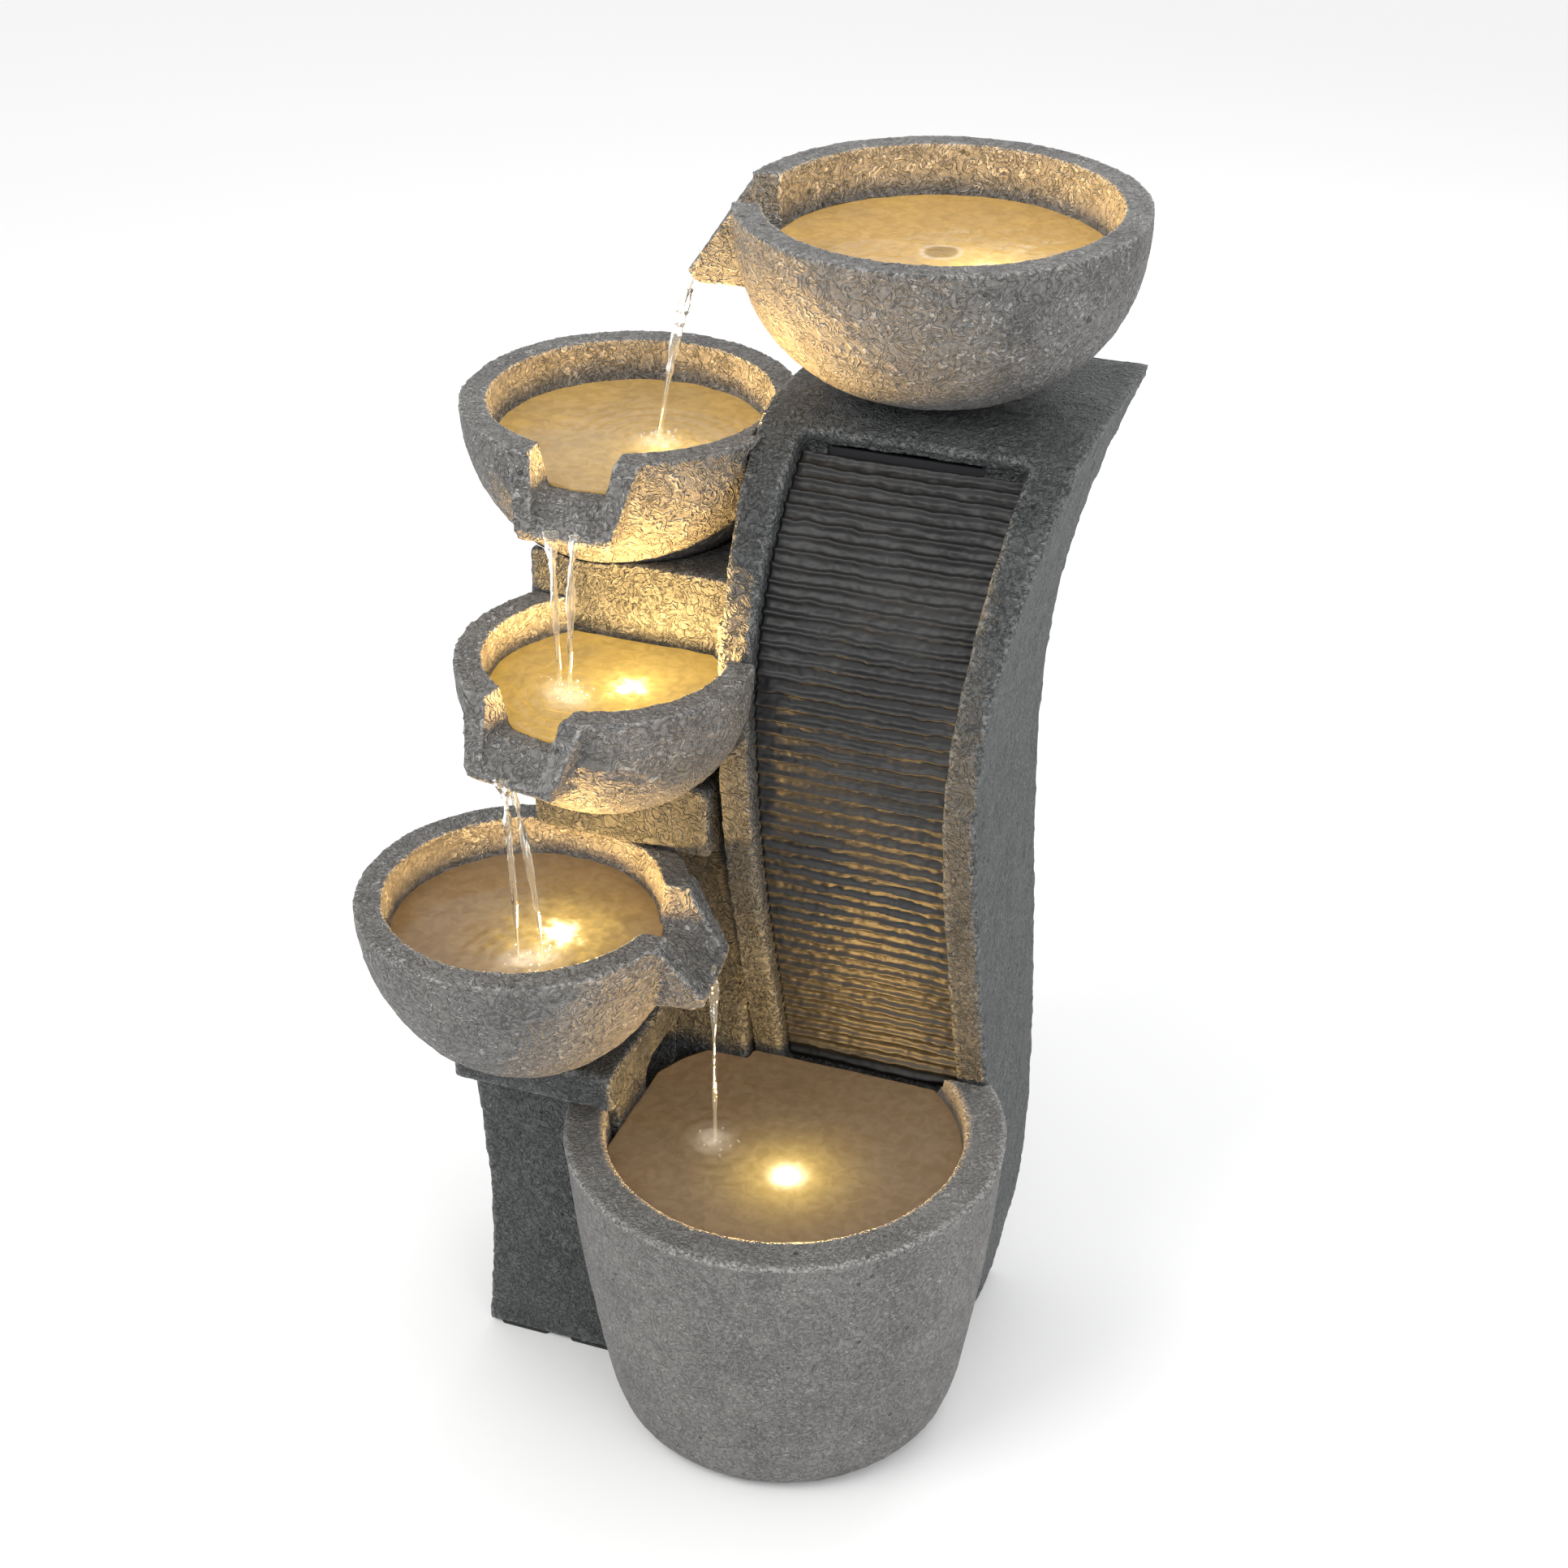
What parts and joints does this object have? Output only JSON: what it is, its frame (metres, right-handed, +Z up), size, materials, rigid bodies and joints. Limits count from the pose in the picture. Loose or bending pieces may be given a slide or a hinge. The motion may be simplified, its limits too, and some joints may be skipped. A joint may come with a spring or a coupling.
{
  "type": "tiered bowl water fountain",
  "caption": "Free-standing tiered water fountain: a curved tower with a rippled water wall, spouted bowls spilling into one another, and a round basin that holds the pump.",
  "frame": {"origin": "on the floor under the tower's centre line, at the middle of the floor pad between the basin and the tower", "axes": "+Z up, the viewer stands at -Y, +X to the viewer's right"},
  "size_m": [0.392, 0.453, 0.716],
  "materials": {
    "concrete": "warm grey cast stone, dry-brushed pale, fine pits",
    "dark_stone": "charcoal cast stone, dry-brushed pale edges",
    "wet_panel": "near-black rippled casting, wet and glossy",
    "black_plastic": "moulded black plastic",
    "pale_plastic": "pale moulded plastic",
    "rubber": "black rubber",
    "steel": "stainless steel",
    "hose": "dark flexible tube",
    "lens": "clear lens over a warm white light"
  },
  "bodies": {
    "fountain": {"tower_shell": "dark_stone", "water_wall": "wet_panel", "weir_trough": "black_plastic", "basin": "concrete", "lower_pier": "dark_stone", "lower_cap": "dark_stone", "middle_pier": "dark_stone", "upper_pier": "dark_stone", "top_bowl": "concrete", "upper_bowl": "concrete", "middle_bowl": "concrete", "lower_bowl": "concrete", "pump_body": "black_plastic", "pump_shaft": "steel", "pump_seal": "rubber", "pump_cover": "black_plastic", "pump_feet": "rubber", "riser_hose": "hose", "hose_tee": "black_plastic", "top_hose": "hose", "weir_hose": "hose", "hose_clamps": "steel", "outlet_pipe": "black_plastic", "outlet_nut": "black_plastic", "outlet_washer": "rubber", "bowl_bolts": "steel", "bowl_washers": "steel", "light_housings": "black_plastic", "light_lenses": "lens", "light_seals": "rubber", "light_leads": "hose", "pump_lead": "hose", "junction_box": "black_plastic", "junction_lid": "black_plastic", "wall_grommet": "rubber", "cord_gland": "black_plastic", "foot_pads": "rubber"},
    "impeller": {"pump_impeller": "pale_plastic"},
    "slider": {"flow_slider": "pale_plastic"},
    "strainer": {"pump_strainer": "black_plastic"},
    "door": {"rear_door": "dark_stone", "door_gasket": "rubber", "door_knob": "black_plastic"}
  },
  "joints": [
    {"name": "impeller_spin", "type": "hinge", "parent": "fountain", "child": "impeller", "pos_m": [-0.004, -0.03, 0.04], "axis": [0, 1, 0], "continuous": true},
    {"name": "flow_slide", "type": "slide", "parent": "fountain", "child": "slider", "axis": [-1, 0, 0], "range_m": [0, 0.008]},
    {"name": "strainer_off", "type": "slide", "parent": "fountain", "child": "strainer", "axis": [0, -1, 0], "range_m": [0, 0.01]},
    {"name": "rear_door_off", "type": "slide", "parent": "fountain", "child": "door", "axis": [0, 1, 0], "range_m": [0, 0.06]}
  ]
}
